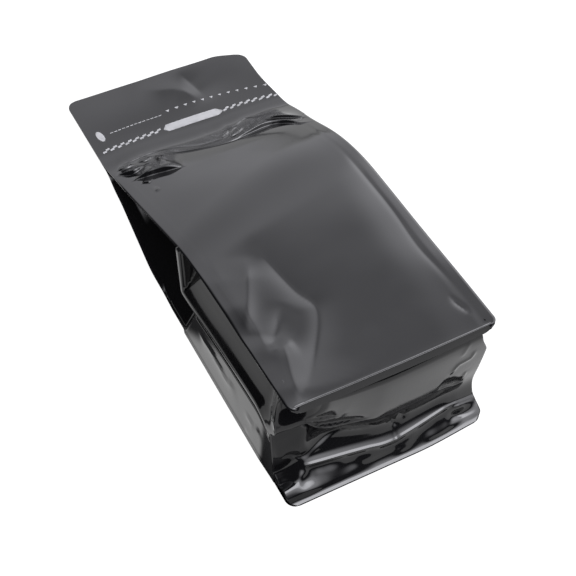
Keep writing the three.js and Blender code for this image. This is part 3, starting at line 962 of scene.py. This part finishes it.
def base_points():
    """The base panel's film from under the front flange down to the edge of the skirt."""
    film_step = film().film_thickness / MM + FILM_GAP
    across = np.linspace(-1, 1, BASE_COLUMNS)
    turns = len(CORNER_WRAP)
    share = np.concatenate([np.full(turns, -1.0), across, np.full(turns, 1.0)])
    back = np.concatenate([CORNER_WRAP[::-1], np.zeros_like(across), CORNER_WRAP])

    def row(y, z, half_width, wrapped=1.0):
        """A row at one place along Y; its height is a number or a rule."""
        x = share * half_width
        return points_at(x, y + back * wrapped, z(x) if callable(z) else z)

    def below_front(y, gap):
        """A rule for heights that are a gap below the front panel's at one place along Y."""
        return lambda x: front_height(x, np.full_like(x, y)) - gap

    def face(part):
        """A row a part of the way from the heel ridge up to the seam."""
        corner_z = mix(profile(HALF_WIDTH, RIDGE_Z), FACE_TOP, part)
        x = share * corner_half_width(corner_z)
        ridge_z = profile(x, RIDGE_Z)
        z = mix(ridge_z, FACE_TOP, part)
        folds = creased(x, z, BASE_FOLDS) * past(z - ridge_z, FOLDS_START)
        return points_at(x, face_y(x, part) - folds + back, z)

    ridge = face(0)
    x, ridge_y, ridge_z = ridge.T
    at_left = 1 - past(x, LEFT_END)
    at_right = past(x, RIGHT_END)

    def wall(places, rough):
        """A row below the ridge from its (y, z) in the middle and at the two ends."""
        y, z = (mix(mix(middle, left, at_left), right, at_right) for middle, left, right in zip(*places))
        y = y + WALL_SWELL * rough * ripples(WALL_STRETCH[0] * x, WALL_STRETCH[1] * y, length=17, seed=8)
        z = z + WALL_LIFT * rough * ripples(WALL_STRETCH[0] * x, WALL_STRETCH[1] * y, length=13, seed=9)
        return points_at(x, y + back * WALL_WRAP, z)

    from_ridge = [[(ridge_y + y, ridge_z + z) for y, z in places] for places in (WALL_TOP, WALL_UPRIGHT)]
    half_down = (mix(ridge_y, WALL_FOOT[0][0], 0.5), mix(ridge_z - WALL_DROP, WALL_FOOT[0][1], 0.5))
    wall_rows = (*from_ridge, (half_down, *WALL_HALF_DOWN_ENDS), WALL_FOOT)
    down = [wall(places, rough) for places, rough in zip(wall_rows, WALL_ROUGH)]
    skirt = [row(y, z, panel_half_width(y, -SKIRT, MOUTH_Y), FLAT_WRAP) for y, z in (SKIRT_FOOT, SKIRT_EDGE)]
    under_front = [row(y, below_front(y, steps * film_step), panel_half_width(y, 0, MOUTH_Y) - FLANGE_TUCK,
                       FLAT_WRAP) for y, steps in UNDER_FRONT]
    seam = row(BASE_SEAM_Y, below_front(BASE_SEAM_Y, film_step), SEAM_X)
    flange = flowing([*under_front, seam], steps=(4, 4))
    upright = np.array([face(part) for part in np.linspace(1, 0, FACE_ROWS) ** ROW_CROWDING])
    top = row(BASE_SEAM_Y + SEAM_TURN[0], below_front(BASE_SEAM_Y, SEAM_TURN[1]), SEAM_X)
    return joined(flange, flowing([seam, top, upright[0]], steps=(4, 4)), upright,
                  flowing([ridge, *down, *skirt], steps=(3, 6, 8, 8, 6, 5)))


class POUCH_OT_base_panel(bpy.types.Operator):
    """Builds the base panel, set back between the flanges, with its heel and skirt."""

    bl_idname = "pouch.base_panel"
    bl_label = "Base panel"

    def execute(self, context):
        add_film("base_panel", base_points()[:, ::-1])
        return {"FINISHED"}


# Print on the mouth flap, by x and y

LOZENGE = (  # x, lower y, upper y
    (-18.3, 280.2, 280.6), (-15.6, 277.5, 283.7), (-13.8, 277.3, 284.0), (22.6, 276.3, 283.1),
    (24.1, 277.1, 282.1), (26.9, 278.8, 279.2),
)
ROPE_RUNS = (((-63.8, 278.0), (-44, 278.9), (-20.6, 280.2)), ((28.6, 278.9), (48, 278.6), (68.6, 276.4)))
ROPE_PITCH = 5.65
ROPE_DASH = 2.8
ROPE_WIDTH = 1.6
ROPE_SLANT = 0.3
ROPE_STEP = (2.7, 1.5)  # from a lower dash to the upper one beside it
ARROWS = ((-8.4, 295.3), (13.4, 295.4), (34.5, 294.5), (55, 291.8), (68.2, 289.4))
ARROW_COUNT = 12
ARROW_WIDTH = 2.6
ARROW_LENGTH = 2.0
ARROW_TIP = 0.3  # width of an arrow head's two upper tips
FINE_DASHES = ((-53.5, 292.5), (-35, 293.4), (-16, 293.7))
FINE_DASH_PITCH = 3.1
FINE_DASH = (2.2, 0.6)  # length, width
OVAL_MIDDLE = (-60.8, 292.4)
OVAL_HALF = (2.5, 4.9)
OVAL_TURN = math.radians(-12)
OVAL_BLUNT = 0.06  # angle left off each of its ends
OVAL_STATIONS = 13


def ink_sheet(stations):
    """The upper face of a printed mark from (x, lower y, upper y) stations, just above the film."""
    x, low, high = np.array(stations, float).T
    y = np.stack([low, mix(low, high, 0.5), high])
    x = np.broadcast_to(x, y.shape)
    return points_at(x, y, front_height(x, y) + printing().ink_thickness / MM)


def finer(stations, step=2.0):
    """Stations of a long mark, no further than a step apart."""
    stations = np.array(stations, float)
    x = np.concatenate([rows_between((start, end, min(step, end - start)))[:-1]
                        for start, end in zip(stations[:-1, 0], stations[1:, 0])] + [stations[-1:, 0]])
    return np.stack([x] + [np.interp(x, stations[:, 0], stations[:, i]) for i in (1, 2)], axis=-1)


def dash(x, y, length, width, slant=0.0):
    """Stations of a dash about its middle, with one end lower and one higher by a slant."""
    ends = [(x + side * length / 2, y + side * slant) for side in (-1, 1)]
    return [(end, middle - width / 2, middle + width / 2) for end, middle in ends]


def rope_marks():
    """Two rows of short dashes in a checker, along the tear line."""
    marks = []
    for run in ROPE_RUNS:
        for x in np.arange(run[0][0], run[-1][0], ROPE_PITCH):
            for shift, rise in ((0, 0), ROPE_STEP):
                y = profile(x + shift, run) + rise
                mark = dash(x + shift, y, ROPE_DASH, ROPE_WIDTH, ROPE_SLANT)
                if mark[1][0] < HALF_WIDTH:
                    marks.append(mark)
    return marks


def arrow_marks():
    """A row of small arrow heads that point to the tear line."""
    marks = []
    for x in np.linspace(ARROWS[0][0], ARROWS[-1][0], ARROW_COUNT):
        top = profile(x, ARROWS) + ARROW_LENGTH / 2
        half = ARROW_WIDTH / 2
        tip = top - ARROW_TIP
        marks.append(((x - half, tip, top), (x, top - ARROW_LENGTH, top), (x + half, tip, top)))
    return marks


def fine_marks():
    """A row of fine dashes between the oval and the arrows."""
    starts = np.arange(FINE_DASHES[0][0], FINE_DASHES[-1][0], FINE_DASH_PITCH)
    return [dash(x + FINE_DASH[0] / 2, profile(x, FINE_DASHES), *FINE_DASH) for x in starts]


def oval_mark():
    """A slanted oval at the start of the tear line."""
    turn = np.linspace(OVAL_BLUNT, math.pi - OVAL_BLUNT, OVAL_STATIONS)
    x = -OVAL_HALF[0] * np.cos(turn)
    half = OVAL_HALF[1] * np.sin(turn)
    lean = x * math.tan(OVAL_TURN) * OVAL_HALF[1] / OVAL_HALF[0]
    middle = OVAL_MIDDLE[1] + lean
    return np.stack([OVAL_MIDDLE[0] + x, middle - half, middle + half], axis=-1)


class POUCH_OT_flap_print(bpy.types.Operator):
    """Prints the tear line, its arrows and its plain label on the mouth flap."""

    bl_idname = "pouch.flap_print"
    bl_label = "Flap print"

    def execute(self, context):
        marks = [finer(LOZENGE), *rope_marks(), *arrow_marks(), *fine_marks(), oval_mark()]
        piece = film_object("flap_print", [ink_sheet(mark) for mark in marks], printing().ink_thickness / MM)
        fit_to_frame(piece, finish("white_ink", ink_material))
        return {"FINISHED"}


# Studio

IMAGE_SIDE = 576
SENSOR_WIDTH = 36
AIM = (0, 120, 30)
CAMERA_ANGLES = (-31.3, 52.9, 4.2)  # azimuth, elevation, roll
CAMERA_DISTANCE = 971
PICTURE_SHIFT = (6.7, -1.5)  # pixels to the right and down
SOFTBOX_DIRECTION = (0.3, -0.3, 0.9)
SOFTBOX_EDGE = (25, 12)  # degrees from its middle where its light starts and is full
GLOW_EDGE = (56.6, 20)
SIDE_DIRECTION = (0.87, 0.3, 0.4)
SIDE_EDGE = (38.7, 18.2)
BACKDROP = (  # directions, and spans of the way there over which its light goes from one share to another
    ((0, 1, 0), (0.39, 0.75), (0, 1)),  # it starts
    ((0, 1, 0), (0.72, 0.95), (1, 0.66)),  # and falls off towards the horizon
    ((-1, 0, 0), (0.0, 0.45), (1, 0)),  # and ends on the left
)
STUDIO_TINT = (0.8, 0.8, 0.84, 1)
FLOOR_HALF = 3  # metres
# Painted shadows of the pouch on the floor: they dim the floor's glow in the film's reflections only
PAINTED_FLOOR_SHADOWS = (  # a depth, and strips that cross there: a direction, and spans where it starts and ends
    (1.0, (((-2, 1, 0), (0.047, 0.060), (0.070, 0.082)),)),  # left of the neck
    (0.5, (((-1, 0, 0), (0.022, 0.040), (0.064, 0.072)),  # in front of the base's left corner
           ((0, -1, 0), (0.145, 0.160), (FLOOR_HALF, FLOOR_HALF + 1)))),
    (1.0, (((-1, 0, 0), (0.066, 0.071), (0.082, 0.088)),  # beside the left gusset
           ((-1.654, -1, 0), (0.1265, 0.1305), (0.150, 0.155)))),
)


def make_camera(look):
    """The camera, at the picture's viewing angle."""
    azimuth, elevation, roll = (math.radians(angle) for angle in CAMERA_ANGLES)
    turn = (Matrix.Rotation(azimuth, 4, "Z") @ Matrix.Rotation(math.pi / 2 - elevation, 4, "X")
            @ Matrix.Rotation(roll, 4, "Z"))
    aim = Vector((AIM[0], AIM[1] + BASE_EDGE_Y, AIM[2]))
    data = bpy.data.cameras.new("camera")
    data.sensor_width = SENSOR_WIDTH
    data.lens = look.focal_length / MM
    data.shift_x = -PICTURE_SHIFT[0] / IMAGE_SIDE
    data.shift_y = PICTURE_SHIFT[1] / IMAGE_SIDE
    camera = add_object("camera", data)
    away = Matrix.Translation((0, 0, CAMERA_DISTANCE * MM))
    camera.matrix_world = Matrix.Translation(aim * MM) @ turn @ away
    bpy.context.scene.camera = camera


def make_light(look):
    """Soft studio light all round, white where the camera sees past the floor."""
    world = bpy.data.worlds.new("studio")
    world.use_nodes = True
    bpy.context.scene.world = world
    tree = world.node_tree
    direction = tree.nodes.new("ShaderNodeTexCoord").outputs["Generated"]
    backdrop = look.backdrop_light
    for towards, span, shares in BACKDROP:
        reach = along(tree, direction, towards)
        backdrop = combine(tree, "MULTIPLY", backdrop, ranged(tree, reach, *span, *shares))
    total = combine(tree, "ADD", backdrop, look.dim_light)
    for towards, edge, strength in ((SOFTBOX_DIRECTION, GLOW_EDGE, look.glow_light),
                                    (SOFTBOX_DIRECTION, SOFTBOX_EDGE, look.softbox_light),
                                    (SIDE_DIRECTION, SIDE_EDGE, look.side_light)):
        start, full = (math.cos(math.radians(angle)) for angle in edge)
        light = ranged(tree, along(tree, direction, towards), start, full, 0.0, strength)
        total = combine(tree, "ADD", total, light)
    seen = tree.nodes.new("ShaderNodeLightPath").outputs["Is Camera Ray"]
    background = set_inputs(tree.nodes["Background"], Color=STUDIO_TINT)
    tree.links.new(ranged(tree, seen, 0.0, 1.0, total, 1.0), background.inputs["Strength"])


class POUCH_OT_studio(bpy.types.Operator):
    """Sets up the pale floor, the soft light and the camera."""

    bl_idname = "pouch.studio"
    bl_label = "Studio"

    def execute(self, context):
        mesh = bpy.data.meshes.new("floor")
        corners = [(x * FLOOR_HALF, y * FLOOR_HALF, 0) for x, y in ((-1, -1), (1, -1), (1, 1), (-1, 1))]
        mesh.from_pydata(corners, [], [(0, 1, 2, 3)])
        mesh.materials.append(floor_material())
        floor = add_object("floor", mesh)
        make_light(studio())
        make_camera(studio())
        context.scene.view_settings.view_transform = "Standard"
        return {"FINISHED"}


class POUCH_PT_panel(bpy.types.Panel):
    """Lists the pouch's operators and settings."""

    bl_idname = "POUCH_PT_panel"
    bl_label = "Flat-bottom pouch"
    bl_space_type = "VIEW_3D"
    bl_region_type = "UI"
    bl_category = "Pouch"

    def draw(self, context):
        for operator in OPERATORS:
            self.layout.operator(operator.bl_idname)
        for settings in (film(), printing(), studio()):
            for name in settings.__annotations__:
                self.layout.prop(settings, name)


OPERATORS = (
    POUCH_OT_studio,
    POUCH_OT_front_panel,
    POUCH_OT_back_panel,
    POUCH_OT_side_gussets,
    POUCH_OT_base_panel,
    POUCH_OT_flap_print,
)
SETTINGS = {
    "pouch_film": PouchFilmSettings,
    "pouch_print": PouchPrintSettings,
    "pouch_studio": PouchStudioSettings,
}
CLASSES = (*SETTINGS.values(), *OPERATORS, POUCH_PT_panel)


def register():
    for item in CLASSES:
        bpy.utils.register_class(item)
    for name, settings in SETTINGS.items():
        setattr(bpy.types.Scene, name, PointerProperty(type=settings))


def unregister():
    for name in SETTINGS:
        delattr(bpy.types.Scene, name)
    for item in reversed(CLASSES):
        bpy.utils.unregister_class(item)


def main():
    register()
    bpy.ops.pouch.studio()
    bpy.ops.pouch.front_panel()
    bpy.ops.pouch.back_panel()
    bpy.ops.pouch.side_gussets()
    bpy.ops.pouch.base_panel()
    bpy.ops.pouch.flap_print()


if __name__ == "__main__":
    main()
